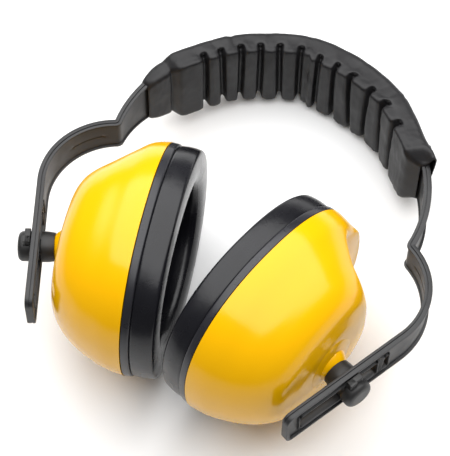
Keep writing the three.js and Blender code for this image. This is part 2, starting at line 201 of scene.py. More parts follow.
def skin(rings, wrap=False, caps=True):
    """Points and faces of a skin over rings of equal count. Wrapped, the last ring joins the first."""
    count = len(rings[0])
    points = [p for ring in rings for p in ring]
    faces = []
    for r in range(len(rings) if wrap else len(rings) - 1):
        low, high = r * count, ((r + 1) % len(rings)) * count
        for i in range(count):
            j = (i + 1) % count
            faces.append((low + i, low + j, high + j, high + i))
    if caps and not wrap:
        for start in (0, (len(rings) - 1) * count):
            middle = len(points)
            points.append(np.mean(points[start : start + count], axis=0))
            for i in range(count):
                faces.append((middle, start + i, start + (i + 1) % count))
    return points, faces


def join_parts(*parts):
    """One list of points and faces from several."""
    points, faces = [], []
    for part_points, part_faces in parts:
        base = len(points)
        points += list(part_points)
        faces += [tuple(base + i for i in face) for face in part_faces]
    return points, faces


def lathe(profile, centre=(0.0, 0.0)):
    """A turned part on local z from (radius, z) pairs; a pair with radius 0 closes it."""
    turn = np.linspace(0, 2 * np.pi, LATHE_SEGMENTS, endpoint=False)
    rings = []
    for r, z in profile:
        x = r * np.cos(turn) + centre[0]
        y = r * np.sin(turn) + centre[1]
        rings.append(np.stack([x, y, np.full(LATHE_SEGMENTS, z)], 1))
    return skin(rings, wrap=profile[0][0] > 0, caps=False)


def rounded_profile(corners, steps=4):
    """(radius, z, rounding) corners of a profile, each rounded with a short curve."""
    points = []
    for i, (r, z, rounding) in enumerate(corners):
        here = np.array([r, z])
        if rounding == 0:
            points.append(here)
            continue
        before = np.array(corners[i - 1][:2]) - here
        after = np.array(corners[(i + 1) % len(corners)][:2]) - here
        a = here + before / np.linalg.norm(before) * rounding
        b = here + after / np.linalg.norm(after) * rounding
        for t in np.linspace(0, 1, steps + 1):
            points.append((1 - t) ** 2 * a + 2 * t * (1 - t) * here + t**2 * b)
    return [tuple(p) for p in points]


def block(sizes, centre, edge=0.35):
    """A box with rounded edges, as points and faces."""
    bm = bmesh.new()
    bmesh.ops.create_cube(bm, size=1.0)
    bmesh.ops.scale(bm, vec=sizes, verts=bm.verts)
    bmesh.ops.bevel(bm, geom=bm.edges, offset=edge, segments=3, profile=0.5, affect="EDGES")
    bmesh.ops.translate(bm, vec=centre, verts=bm.verts)
    points = [tuple(v.co) for v in bm.verts]
    faces = [tuple(v.index for v in f.verts) for f in bm.faces]
    bm.free()
    return points, faces


# ------------------------------------------------------------ headband path, right arm end to left arm end
def heading(degrees):
    """A unit vector in the band's plane."""
    return np.array([math.cos(math.radians(degrees)), math.sin(math.radians(degrees))])


def right_half_path(step=0.1):
    """Points of the middle line from the right arm's end to the crest, and which of them is the kink."""
    end = np.array(ARM["end"])
    up = heading(90 - ARM["lean"])
    arm = [end + up * s for s in np.arange(0, ARM["length"], step)]
    top = end + up * ARM["length"]
    centre = top + heading(180 - ARM["lean"]) * BOW["radius"]
    turns = np.linspace(-ARM["lean"], BOW["sweep"] - ARM["lean"], 460)
    bow = [centre + heading(t) * BOW["radius"] for t in turns]
    handles = [
        bow[-1],
        bow[-1] + heading(CROWN["heading"]) * CROWN["handle"],
        np.array([CROWN["top_handle"], CROWN["top"]]),
        np.array([0.0, CROWN["top"]]),
    ]
    crown = []
    for t in np.linspace(0, 1, 1200)[1:]:
        weights = ((1 - t) ** 3, 3 * t * (1 - t) ** 2, 3 * t * t * (1 - t), t**3)
        crown.append(sum(w * h for w, h in zip(weights, handles)))
    return np.array(arm + bow + crown), len(arm) + len(bow) - 1


class Path:
    """The strap's middle line in the band's plane, by arc length, with the kinks slightly rounded."""

    def __init__(self, step=0.05, rounding=0.8):
        half, kink = right_half_path()
        whole = np.vstack([half, (half * (-1, 1))[-2::-1]])
        length = np.concatenate([[0], np.cumsum(np.linalg.norm(np.diff(whole, axis=0), axis=1))])
        self.length = length[-1]
        self.kink = length[kink]
        s = np.arange(0, self.length, step)
        line = np.stack([np.interp(s, length, whole[:, i]) for i in (0, 1)], 1)
        reach = int(rounding / step)
        for _ in range(2):
            ahead = [line[0] * 2 - line[reach:0:-1], line, line[-1] * 2 - line[-2 : -reach - 2 : -1]]
            kernel = np.ones(2 * reach + 1) / (2 * reach + 1)
            line = np.stack([np.convolve(np.vstack(ahead)[:, i], kernel, "valid") for i in (0, 1)], 1)
        self.s, self.line = s, line
        along = np.gradient(line, axis=0)
        along /= np.linalg.norm(along, axis=1)[:, None]
        self.out = np.stack([along[:, 1], -along[:, 0]], 1)

    def at(self, s, across, out):
        """Points in the band's frame: s along, then across the strap, and out from its middle."""
        s, across, out = np.broadcast_arrays(s, across, out)
        place = [np.interp(s, self.s, self.line[:, i]) for i in (0, 1)]
        normal = [np.interp(s, self.s, self.out[:, i]) for i in (0, 1)]
        return np.stack([place[0] + normal[0] * out, place[1] + normal[1] * out, across], -1)

    def from_end(self, s):
        """Arc length from the nearer arm end."""
        return np.minimum(s, self.length - s)


path = Path()
CREST = path.length / 2


# ------------------------------------------------------------ headband strap
def strap_half(s):
    """Half the strap's width at arc length s from the nearer arm end."""
    stations = [0, ARM["length"], path.kink, path.kink + 10, path.kink + 24, CREST]
    halves = [ARM["half"], ARM["half"], KINK_HALF, KINK_HALF + 1.6, CROWN["half"], CROWN["half"]]
    corner = np.clip(ARM["round"] - s, 0, ARM["round"])
    return np.interp(s, stations, halves) - ARM["round"] + np.sqrt(ARM["round"] ** 2 - corner**2)


def hole_half(s, hole):
    """Half the width of the slot or the notch, whose corners are round."""
    inside = np.clip(np.minimum(s - hole["start"], hole["end"] - s), 0, hole["round"])
    corner = hole["round"] - inside
    return hole["half"] - hole["round"] + np.sqrt(np.maximum(hole["round"] ** 2 - corner**2, 0))


# the mesh lines in from the strap's outline, and out from the edge of a hole
OUTLINE_STEPS = (0, 0.12, 0.4, RIM["width"], RIM["width"] + RIM["slope"])
HOLE_STEPS = (0.7, 0.5, 0.3, 0.12)
HOLE_COLUMN = len(OUTLINE_STEPS) + len(HOLE_STEPS)


def strap_stations():
    """Arc lengths of the mesh lines across the strap, from an arm's end to the crest."""
    slot_in = SLOT["start"] + SLOT["round"]
    slot_out = SLOT["end"] - SLOT["round"]
    return stops(
        0, *[(step, 1) for step in OUTLINE_STEPS[1:]], (5.0, 8),
        *[(SLOT["start"] - step, 1) for step in HOLE_STEPS], (SLOT["start"], 1),
        (slot_in, 4), (slot_out, 24), (SLOT["end"], 4), (SLOT["end"] + 0.12, 1), (SLOT["end"] + 0.4, 1),
        (NOTCH["start"] - 0.4, 2), (NOTCH["start"] - 0.12, 1), (NOTCH["start"], 1), (NOTCH["end"], 7),
        *[(NOTCH["end"] + step, 1) for step in HOLE_STEPS[::-1]],
        (path.kink - 4, 44), (path.kink + 4, 22), (CREST, 70),
    )


def strap_columns(s):
    """Distances across the strap at a station, from one edge to the other."""
    hole = SLOT["half"]
    for opening in (SLOT, NOTCH):
        if opening["start"] <= s <= opening["end"]:
            hole = float(hole_half(s, opening))
    half = float(strap_half(s))
    scale = min(1.0, half / ARM["half"]) if s < ARM["round"] else 1.0
    outline = [half - step for step in OUTLINE_STEPS]
    fixed = [*[hole + step for step in HOLE_STEPS], hole, 2.0, 0.45]
    inner = [min(w * scale, outline[-1] * 0.98) for w in fixed]
    for i in range(1, len(HOLE_STEPS) + 1):
        inner[i] = min(inner[i], inner[i - 1] - 0.02)
    upper = [*outline, *inner, 0.0]
    return upper + [-w for w in upper[-2::-1]]


def strap_relief(s, w):
    """How far the outer and the inner face lie from the strap's middle: raised rims, sunk between them."""
    round_at = ARM["half"] - ARM["round"]
    corner = ARM["round"] - np.hypot(s - ARM["round"], np.abs(w) - round_at)
    in_corner = (s < ARM["round"]) & (np.abs(w) > round_at)
    from_edge = np.where(in_corner, corner, np.minimum(s, strap_half(s) - np.abs(w)))
    from_hole = np.full(w.shape, np.inf)
    for hole in (SLOT, NOTCH):
        beyond = np.maximum(hole["start"] - s, s - hole["end"])
        reach = np.where(beyond > 0, hole["half"], hole_half(s, hole))
        away = np.maximum(np.maximum(beyond, np.abs(w) - reach), 0)
        from_hole = np.minimum(from_hole, away)

    past_rim = smooth(from_edge, RIM["width"], RIM["width"] + RIM["slope"])
    past_border = smooth(from_hole, HOLE_RIM["width"], HOLE_RIM["width"] + HOLE_RIM["slope"])
    sunk = past_rim * past_border
    rounding = np.maximum(edge_drop(from_edge, RIM["edge"]), edge_drop(from_hole, RIM["edge"]))
    start, end = (path.kink + away for away in MIDDLE_LINE["from_kink"])
    line = bump(w, 0, MIDDLE_LINE["half"]) * smooth(s, start, start + 2) * smooth(-s, -end, 2 - end)
    outer = STRAP_HALF - RIM["outer_depth"] * sunk - rounding
    inner = -STRAP_HALF + RIM["inner_depth"] * sunk + rounding + MIDDLE_LINE["depth"] * line
    return outer, inner


def slanted_web(s, w):
    """The stations, moved along so that the web between the slot and the notch slants."""
    half = NOTCH["half"]
    near_web = bump(s, NOTCH["start"] + WEB["past"], WEB["reach"])
    slant = WEB["steep"] * (half + np.clip(w, -half, half)) * near_web
    return s + slant * smooth(s, SLOT["end"], NOTCH["start"] - WEB["past"])


def strap_faces(near, count, below):
    """Faces of the outer and inner sheets without the holes, and the edges that only one cell has."""
    faces, edges = [], {}
    for row in range(len(near) - 1):
        middle = (near[row] + near[row + 1]) / 2
        holed = any(hole["start"] < middle < hole["end"] for hole in (SLOT, NOTCH))
        for column in range(count - 1):
            if holed and HOLE_COLUMN <= column < count - 1 - HOLE_COLUMN:
                continue
            a = row * count + column
            cell = (a, a + 1, a + count + 1, a + count)
            faces.append(cell)
            faces.append(tuple(below + i for i in reversed(cell)))
            for i in range(4):
                edge = (cell[i], cell[(i + 1) % 4])
                key = tuple(sorted(edge))
                edges[key] = None if key in edges else edge
    return faces, [edge for edge in edges.values() if edge]


def edge_levels(outer, inner, on_long_side):
    """Points from the outer to the inner face at one place of the outline, with the long sides' line."""
    if not on_long_side:
        return [outer, inner]
    levels = [outer]
    for share, sunk in EDGE_LINE:
        level = outer + (inner - outer) * share
        level[2] -= math.copysign(sunk, level[2])
        levels.append(level)
    return [*levels, inner]


def headband_strap(material):
    half_stations = strap_stations()
    w = np.array([strap_columns(s) for s in half_stations])
    count = w.shape[1]
    s = np.repeat(half_stations[:, None], count, axis=1)
    outer, inner = strap_relief(s, w)
    s = slanted_web(s, w)

    # both halves, one after the other along the path
    s = np.vstack([s, (path.length - s)[-2::-1]])
    w, outer, inner = (np.vstack([a, a[-2::-1]]) for a in (w, outer, inner))
    points = [*path.at(s, w, outer).reshape(-1, 3), *path.at(s, w, inner).reshape(-1, 3)]
    below = len(points) // 2
    near = path.from_end(np.concatenate([half_stations, path.length - half_stations[-2::-1]]))
    faces, outline = strap_faces(near, count, below)

    for edge in outline:
        near_levels, far_levels = (
            edge_levels(points[i], points[below + i], i % count in (0, count - 1)) for i in edge
        )
        if len(near_levels) != len(far_levels):
            near_levels, far_levels = ((ends[0], ends[-1]) for ends in (near_levels, far_levels))
        first = len(points)
        points += [p for pair in zip(near_levels, far_levels) for p in pair]
        for a in range(first, len(points) - 2, 2):
            faces.append((a + 1, a, a + 2, a + 3))
    made = piece("headband_strap", points, faces, BAND, material, sharp=32)
    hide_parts("headband_left", "headband_right")
    return made


# ------------------------------------------------------------ headband pad
PAD_START = path.kink + PAD_ENDS["right"]
PAD_END = path.length - path.kink - PAD_ENDS["left"]


def arc(centre, radius, start, end, count=7):
    """Points of a corner (across, out), with its outward normals."""
    rows = []
    for turn in np.linspace(start, end, count):
        n = heading(turn)
        rows.append((centre[0] + n[0] * radius, centre[1] + n[1] * radius, n[0], n[1]))
    return rows


def pad_section(half, outside, inside, crisp):
    """The sleeve's section, as rows of across, out, outward normal, and how much a groove cuts there."""
    thick = outside + inside
    large, crisp, soft = (min(size, 0.42 * thick) for size in (PAD["round"], crisp, PAD["soft"]))
    climbs = np.array([0.5, 0.9, 1.3, 1.6, 1.9, 2.2, 2.5, 3.0, 4.0, 5.0]) / 5.4
    rows = [(x, outside, 0, 1) for x in np.linspace(large - half, half - large, 15)[:-1]]
    rows += arc((half - large, outside - large), large, 90, 0)
    upper = thick - large - crisp
    rows += [(half, -inside + crisp + upper * c, 1, 0) for c in climbs[::-1]]
    rows += arc((half - crisp, -inside + crisp), crisp, 0, -90)
    rows += [(x, -inside, 0, -1) for x in np.linspace(half - crisp, soft - half, 24)[1:-1]]
    rows += arc((soft - half, -inside + soft), soft, 270, 180)
    lower = thick - large - soft
    rows += [(-half, -inside + soft + lower * c, -1, 0) for c in climbs]
    rows += arc((large - half, outside - large), large, 180, 90)[:-1]
    rows = np.array(rows)
    climb = np.where(rows[:, 0] > 0, CLIMB["high"], CLIMB["high"] + CLIMB["extra"])
    reach = 1 - smooth(rows[:, 1] + inside, climb - 1.7, climb + 1.3)
    return np.hstack([rows, reach[:, None]])


def groove_places():
    """The grooves' places along the path: close together on the left, wider apart on the right."""
    order = np.arange(GROOVES["count"])
    return PAD_END - GROOVES["first"] - GROOVES["pitch"] * order - GROOVES["growth"] * order**2


def groove_depth(s, grooves):
    """Flat-topped ribs with rounded shoulders and narrow round-bottomed grooves between them."""
    away = np.min(np.abs(s - grooves))
    valley = 1 - smooth(away, GROOVE["floor"], GROOVE["half"])
    shoulder = 1 - smooth(away, SHOULDER["from"], SHOULDER["to"])
    return GROOVE["depth"] * valley + SHOULDER["depth"] * shoulder


def pad_stations(grooves):
    """Arc lengths of the pad's rings: closer together at the grooves and at the ends."""
    near_groove = np.linspace(-3.6, 3.6, 21)
    near_end = np.arange(0, 17, 0.45)
    marks = list(np.arange(PAD_START, PAD_END, 1.4))
    marks += [g + step for g in grooves for step in near_groove]
    marks += [*(PAD_START + near_end), *(PAD_END - near_end)]
    kept = []
    for s in sorted(marks):
        if not kept or s - kept[-1] > 0.25:
            kept.append(s)
    return kept


# distance in from the pad's end, then half width and how far the head side stands in
PAD_BODY = (PAD["half"], PAD["inside"])
LEFT_END = [
    (0.0, 10.6, 2.4), (0.8, 11.8, 2.6), (2.0, 12.6, 2.9), (4.0, 13.2, 3.5), (8.5, 13.9, 4.5),
    (10.6, 14.3, 4.5), (11.5, 14.4, 4.0), (12.3, 15.0, 4.8), (14.4, 16.6, 6.9), (16.6, PAD["half"], 7.5),
    (19.0, *PAD_BODY), (200.0, *PAD_BODY),
]
RIGHT_END = [
    (0.0, 16.2, 1.65), (1.2, 16.6, 3.6), (2.8, 17.0, 6.0), (4.8, PAD["half"], 7.2), (7.0, *PAD_BODY),
    (200.0, *PAD_BODY),
]


def pad_ring(s, grooves, lean):
    """One ring of the pad, as (s, across, out), with its groove, folds, pinch and flare."""
    in_left, in_right = PAD_END - s, s - PAD_START
    shape, place = (LEFT_END, in_left) if in_left < in_right else (RIGHT_END, in_right)
    half, inside = smooth_rows(shape, [place])[0]
    body = smooth(in_left, FLAP, FLAP + 5) * smooth(in_right, 3, 9)
    outside = PAD["outside"] - 0.6 * smooth(-in_left, -5, 0) + 1.0 * bump(in_left, 8, 5)
    crisp = PAD["crisp"] + 0.9 * (1 - body)
    across, out, n_across, n_out, reach = pad_section(half, outside, inside, crisp).T

    # folds and waves, along the outward normals
    crease = sum(bump(in_left, bend, FOLDS["crease_half"]) for bend in BENDS[1:])
    wave = np.array([noise.noise((s * 0.16, a * 0.12, o * 0.2)) for a, o in zip(across, out)])
    ripple = np.array([noise.noise((s * 0.5, a * 0.3, o * 0.5)) for a, o in zip(across, out)])
    move = FOLDS["swell"] * (1 - (across / half) ** 2) * (n_out < -0.5) * body
    move -= FOLDS["crease"] * crease * (1 - reach) * (0.6 + 0.4 * np.sin(across * 0.9 + s))
    waves = FOLDS["wave"] * wave + FOLDS["ripple"] * ripple
    move += waves * smooth(place, 0, 4) * (1 - 0.6 * smooth(n_out, 0, 1))

    # the groove cuts straight in, so that its corner moves as a whole
    groove = groove_depth(s, grooves) * body
    near_face = np.clip(1 - (out + inside - crisp) / 6, 0, 1)
    near_side = np.clip((np.abs(across) - half + 6) / (6 - crisp), 0, 1) * np.where(across > 0, 1.0, -0.5)

    upper = smooth(across / half, -0.6, 1) * smooth(out, -1.5, 1.5)
    flare = FLARE["rise"] * smooth(-in_right, -FLARE["reach"], 0) ** 1.5 * upper
    pinch = PINCH["share"] * smooth(-in_right, -PINCH["reach"], 0) * (1 - smooth(out, -0.5, 2.2))
    across = across * (1 - pinch) - groove * reach * near_side
    out = out + groove * reach * near_face
    leaning = s + lean * body * across / half * reach
    return leaning, across + n_across * move, out + n_out * move + flare + polygon(in_left)


def pad_rings():
    """All the pad's rings. Each groove leans a little to one side."""
    grooves = groove_places()
    leans = [0.5 * math.sin(1.9 * k) + (1.6 if k in (8, 10) else 0) for k in range(len(grooves))]
    rings = []
    for s in pad_stations(grooves):
        lean = float(np.interp(s, grooves[::-1], leans[::-1]))
        rings.append(pad_ring(s, grooves, lean))
    return rings


def polygon(place):
    """The padded crown bends at a few places, and lies flatter between them."""
    beyond = 20.0
    marks = [-beyond, *BENDS, PAD_END - PAD_START + beyond]
    low = max(mark for mark in marks if mark <= place)
    high = min(mark for mark in marks if mark > place)
    t = (place - low) / (high - low)
    return 0.4 - 3.4 * t * (1 - t) * ((high - low) / 40) ** 2


def headband_pad(material):
    rings = pad_rings()
    shells = [path.at(s, across, out) for s, across, out in rings]

    def pocket(ring, along):
        """The open end of the sleeve: its skin's edge, and the inside of the skin."""
        s, across, out = ring
        middle = (out.max() + out.min()) / 2
        wide = 1 - PAD["skin"] / across.max()
        high = 1 - PAD["skin"] / (out.max() - middle)
        made = []
        for share, step in ((0.5, -0.25), (1.0, 0.3), (1.0, 3.0), (1.0, 7.0)):
            inner_across = across * (1 - share + share * wide)
            inner_out = middle + (out - middle) * (1 - share + share * high)
            made.append(path.at(s + step * along, inner_across, inner_out))
        return made

    whole = pocket(rings[0], 1)[::-1] + shells + pocket(rings[-1], -1)
    points, faces = skin(whole)
    made = piece("headband_pad", points, faces, BAND, material, sharp=60)
    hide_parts("pad_cover_left", "pad_cover_right", "pad_foam_left", "pad_foam_right")
    return made


# ------------------------------------------------------------ ovals of the cup
def rim_oval(inset, segments):
    """The rim's outline, a squarish oval, moved in by the inset."""
    turn = np.linspace(0, 2 * np.pi, segments, endpoint=False)
    along, across = (np.sign(v) * np.abs(v) ** (2 / CUP["power"]) for v in (np.cos(turn), np.sin(turn)))
    return np.stack([along * (CUP["long"] - inset), across * (CUP["wide"] - inset)], 1)


def oval_section(profile, segments=120):
    """A ring swept round the rim's oval, from its section's (inset, z) corners in order."""
    rings = [np.hstack([rim_oval(inset, segments), np.full((segments, 1), z)]) for inset, z in profile]
    return skin(rings, wrap=True)


# ------------------------------------------------------------ cup shell
# the bucket, as share of its depth and reach towards the crown, away from it, and to each side
BUCKET = [
    (0.00, CUP["long"], CUP["long"], CUP["wide"]),
    (0.08, 46.9, 46.9, 40.8),
    (0.22, 45.6, 46.2, 39.6),
    (0.36, 41.9, 44.7, 37.8),
    (0.62, 34.0, 40.6, 34.2),
    (0.83, 28.5, 35.0, 29.7),
    (0.92, 25.4, 31.2, 26.0),
    (0.97, 22.2, 27.6, 22.3),
    (1.00, 17.4, 22.4, 17.0),
]
# the scoop's floor, as depth behind the rim and distance from the cup's middle towards the crown
SCOOP_FLOOR = [(9.5, 35.0), (14.0, 30.7), (20.4, 25.9), (25.2, 23.9), (30.5, 22.2), (33.0, 21.4)]
# columns of the shell's mesh, as shares of the scoop's half width
SCOOP_COLUMNS = [0, 0.15, 0.3, 0.42, 0.5, 0.58, 0.66, 0.76, 0.86, 0.93, 0.97, 0.99, 1.01, 1.03, 1.08, 1.18]
# the cap's gentle crown, as share of its width and rise
CAP_RISE = ((0.93, 0.3), (0.82, 0.6), (0.6, 0.95), (0.35, 1.1), (0.12, 1.15))
# the boss's underside, inside the shell, and the low cone round it, as (radius, z)
BOSS_FOOT = [(0, 30), (13.5, 32.8), (12.2, 33.8), (10.4, 34.2), (8.9, 34.5), (7.9, 34.7)]


def shell_columns(crownward, endward, half, scoop_half):
    """One ring of the shell: columns at fixed shares of the scoop, and by angle elsewhere."""
    power = CUP["power"]
    across = [scoop_half * share for share in SCOOP_COLUMNS]
    first = math.asin((across[-1] / half) ** (power / 2))
    along = [crownward * (1 - (w / half) ** power) ** (1 / power) for w in across]
    for turn in np.linspace(first, math.pi / 2, 16)[1:]:
        along.append(crownward * max(math.cos(turn), 0) ** (2 / power))
        across.append(half * math.sin(turn) ** (2 / power))
    for turn in np.linspace(math.pi / 2, math.pi, 34)[1:]:
        along.append(-endward * max(-math.cos(turn), 0) ** (2 / power))
        across.append(half * max(math.sin(turn), 0) ** (2 / power))
    upper = list(zip(along, across))
    return np.array(upper + [(x, -w) for x, w in upper[-2:0:-1]])


def shell_ring(z, inset, lift):
    """One ring of the bucket, moved in by the inset, with the bucket's depth changed by the lift."""
    depth, shelf, power = CUP["depth"] + lift, SHELF + lift, CUP["power"]
    crownward, endward, half = smooth_rows(BUCKET, [z / depth])[0] - inset
    deep = max(z, shelf)
    floor = smooth_rows(SCOOP_FLOOR, [min(deep - lift, CUP["depth"])])[0][0] + lift
    reach, _, wide = smooth_rows(BUCKET, [deep / depth])[0] - inset
    scoop_half = 0.35 * wide
    if floor < reach:
        scoop_half = wide * max(1 - (floor / reach) ** power, 0.1) ** (1 / power)
    ring = shell_columns(crownward, endward, half, scoop_half)
    x, w = ring.T
    if z < shelf:
        tab = 1 - smooth(np.abs(w), TAB["flat"], TAB["half"])
        stands = CUP["long"] - inset - TAB["inset"] * z / SHELF - crownward
        lip = LIP["sink"] * edge_drop(np.array(shelf - z), LIP["round"]) / LIP["round"]
        scoop = 1 - smooth(np.abs(w), scoop_half - 1.5, scoop_half)
        x = x + np.where(x > 0, tab * stands * smooth(z, 0, 4) - lip * scoop, 0)
    else:
        floor += UNDERCUT["depth"] * smooth(shelf - z, -UNDERCUT["height"], -0.02)
        under = (x + floor - np.hypot(x - floor, FLOOR_BLEND)) / 2
        x = np.where(x > 0.5 * floor, under, x)
    return np.stack([x, w, np.full(len(w), z)], 1)


def shell_rings(inset, lift):
    """Rings of the bucket from the rim to the cap."""
    depth = CUP["depth"] + lift
    shelf = SHELF + lift
    z_stops = stops(
        0, (shelf - LIP["round"], 9), (shelf - 0.3, 3), (shelf - 0.02, 2), (shelf + 0.02, 1),
        (shelf + UNDERCUT["height"], 6), (depth * 0.86, 18), (depth, 14),
    )
    rings = [shell_ring(z, inset, lift) for z in z_stops]
    cap = rings[-1]
    middle = np.array([-3.0, 0.0, 0.0])
    for share, rise in CAP_RISE:
        rings.append((cap - middle) * (share, share, 1) + middle + (0, 0, rise))
    return rings


def boss_profile(ball_z):
    """The domed boss with a well at its mouth. It has no socket, so the hidden ball overlaps it."""
    dome, mouth = BOSS["dome"], BOSS["mouth"]
    low = math.asin((BOSS["foot"] - ball_z) / dome)
    high = math.acos(mouth / dome)
    domed = [(dome * math.cos(t), ball_z + dome * math.sin(t)) for t in np.linspace(low, high, 10)]
    return BOSS_FOOT + domed + [(mouth - 0.3, domed[-1][1] - 0.1), (mouth - 0.3, 33), (0, 33)]


def cup_shell(side, material):
    matrix = cup_frame(side)
    ball = matrix.inverted() @ Vector(joints[f"{side}_tilt"]["pos_m"])
    outside = shell_rings(0, 0)
    inside = shell_rings(CUP["wall"], -CUP["wall"])
    body = skin(inside[::-1] + outside)
    boss = lathe(boss_profile(ball.z), centre=(ball.x, 0))
    points, faces = join_parts(body, boss)
    made = piece(f"{side}_shell", points, faces, matrix, material, sharp=38)
    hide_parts(f"{side}_cup_shell")
    return made


# ------------------------------------------------------------ other cup pieces
def base_plate(side, material):
    hole = PLATE["hole"]
    profile = rounded_profile([
        (0.1, PLATE["back"], 0.3), (0.35, PLATE["front"], 0.8), (hole, PLATE["front"], 0.5),
        (hole, PLATE["back"], 0.3),
    ])
    points, faces = oval_section(profile)
    made = piece(f"{side}_plate", points, faces, cup_frame(side), material, sharp=50)
    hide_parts(f"{side}_base_plate")
    return made


def cushion_profile():
    """Section of the ear cushion, as (inset, z): flat walls, a crisp outer edge and a soft inner one."""
    near, far = CUSHION["inset"], CUSHION["inset"] + CUSHION["width"]
    back, face = CUSHION["back"], CUSHION["face"]
    return rounded_profile([
        (near + 0.2, back, 0.25),
        (near - 0.1, back - 0.7, 0.4),
        (near - 0.35, (back + face) / 2, 2.0),
        (near + 0.3, face + 0.2, 1.3),
        (near + 5.0, face - 0.5, 2.5),
        (far - 3.0, face - 0.25, 2.5),
        (far + 0.3, face + 1.8, 2.2),
        (far + 0.2, back - 2.4, 1.4),
        (far - 0.9, back, 0.5),
    ], steps=7)


def ear_cushion(side, material):
    points, faces = oval_section(cushion_profile(), segments=160)
    made = piece(f"{side}_cushion", points, faces, cup_frame(side), material, sharp=80)
    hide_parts(f"{side}_cushion_cover", f"{side}_cushion_foam")
    return made


# the lining's section, as distance in from the shell's wall and depth behind the rim
LINING = [
    (4.0, 20.0), (0.6, 19.0), (0.0, 17.0), (0.0, 13.0), (0.0, 9.0), (0.0, 6.0), (0.6, 4.7), (2.0, 4.1),
    (4.0, 4.2), (5.8, 5.2), (7.2, 7.2), (8.6, 10.2), (11.0, 12.2), (16.0, 13.2), (24.0, 13.6), (32.0, 13.7),
]


def cup_lining(side, material):
    """The sound-absorbing foam: a dished block that shows through the ear hole."""
    clear = CUP["wall"] + 1.0
    rings = []
    for away, z in LINING:
        ring = shell_ring(z, clear + away, -clear)
        lumps = np.array([noise.noise(Vector(p) * 0.35) for p in ring])
        rings.append(ring + 0.35 * lumps[:, None])
    points, faces = skin(rings)
    made = piece(f"{side}_lining", points, faces, cup_frame(side), material, sharp=80)
    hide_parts(f"{side}_cup_foam")
    return made


# ------------------------------------------------------------ pivot pieces
def outer_knob(side, material):
    """The knob outside the arm, with its guide block in the slot and its stepped key, but no bore."""
    seat = STRAP_HALF + GAP
    tip = seat + KNOB["length"]
    radius = KNOB["radius"]
    body = lathe(
        rounded_profile([
            (0, seat, 0), (radius - 0.3, seat, 0.2), (radius, seat + 0.5, 0.3), (radius, tip - 1.5, 0.6),
            (radius - 0.8, tip - 0.4, 0.5), (radius - 2.2, tip, 0.5), (0, tip, 0),
        ]),
    )
    guide_wide = 2 * (SLOT["half"] - GAP) - 0.5
    guide = block((KNOB["guide"], guide_wide, 2 * STRAP_HALF), (0, 0, seat - STRAP_HALF + 0.1))
    long, tall, deep = KNOB["key"]
    up = 1 if side == "right" else -1
    place = up * (radius + 0.4)
    low = deep - 0.6
    key_low = block((long, tall, low), (0, place, seat + low / 2), edge=0.3)
    key_high = block((long / 2, tall, deep), (-long / 4, place, seat + deep / 2), edge=0.3)
    points, faces = join_parts(body, guide, key_low, key_high)
    made = piece(f"{side}_outer_knob", points, faces, arm_frame(side), material, sharp=35)
    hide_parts(f"{side}_knob")
    return made


def pivot_collar(side, material):
    """The ring between the arm and the boss, hollow where it rides on the boss's dome."""
    front = -STRAP_HALF - GAP
    bore, taper, radius = COLLAR["bore"], COLLAR["taper"], COLLAR["radius"]
    seat = [(r, math.sqrt((BOSS["dome"] + GAP) ** 2 - r**2) - COLLAR["ball_behind"])
            for r in np.linspace(bore, taper - 0.25, 6)]
    rim = seat[-1][1]
    outer = rounded_profile([(taper, rim - 0.05, 0.2), (radius, front - 2.6, 0.8), (radius, front, 0.4)])
    points, faces = lathe([*seat, *outer, (bore, front)])
    made = piece(f"{side}_pivot_collar", points, faces, arm_frame(side), material, sharp=40)
    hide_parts(f"{side}_collar")
    return made


# ------------------------------------------------------------ materials
class Shader:
    """A principled material, with short helpers for its nodes."""

    def __init__(self, name, **settings):
        self.material = bpy.data.materials.new(name)
        self.material.use_nodes = True
        self.nodes = self.material.node_tree.nodes
        self.links = self.material.node_tree.links
        self.base = self.nodes["Principled BSDF"]
        for socket, value in settings.items():
            self.base.inputs[socket.replace("_", " ")].default_value = value
        self.place = self.nodes.new("ShaderNodeTexCoord").outputs["Object"]

    def noise(self, scale, detail=3.0, roughness=0.55):
        node = self.nodes.new("ShaderNodeTexNoise")
        node.inputs["Scale"].default_value = scale
        node.inputs["Detail"].default_value = detail
        node.inputs["Roughness"].default_value = roughness
        self.links.new(self.place, node.inputs["Vector"])
        return node.outputs["Fac"]

    def cells(self, scale):
        node = self.nodes.new("ShaderNodeTexVoronoi")
        node.inputs["Scale"].default_value = scale
        self.links.new(self.place, node.inputs["Vector"])
        return node.outputs["Distance"]

    def remap(self, value, *limits):
        node = self.nodes.new("ShaderNodeMapRange")
        for socket, number in zip(("From Min", "From Max", "To Min", "To Max"), limits):
            node.inputs[socket].default_value = number
        self.links.new(value, node.inputs["Value"])
        return node.outputs["Result"]

    def ramp(self, value, *colours):
        node = self.nodes.new("ShaderNodeValToRGB")
        elements = node.color_ramp.elements
        while len(elements) < len(colours):
            elements.new(0.5)
        for element, (position, colour) in zip(elements, colours):
            element.position = position
            element.color = (*colour, 1)
        self.links.new(value, node.inputs["Fac"])
        return node.outputs["Color"]

    def bump(self, height, distance, strength=1.0, under=None):
        node = self.nodes.new("ShaderNodeBump")
        node.inputs["Strength"].default_value = strength
        node.inputs["Distance"].default_value = distance
        self.links.new(height, node.inputs["Height"])
        if under is not None:
            self.links.new(under, node.inputs["Normal"])
        return node.outputs["Normal"]

    def connect(self, **outputs):
        for socket, output in outputs.items():
            self.links.new(output, self.base.inputs[socket.replace("_", " ")])
        return self.material


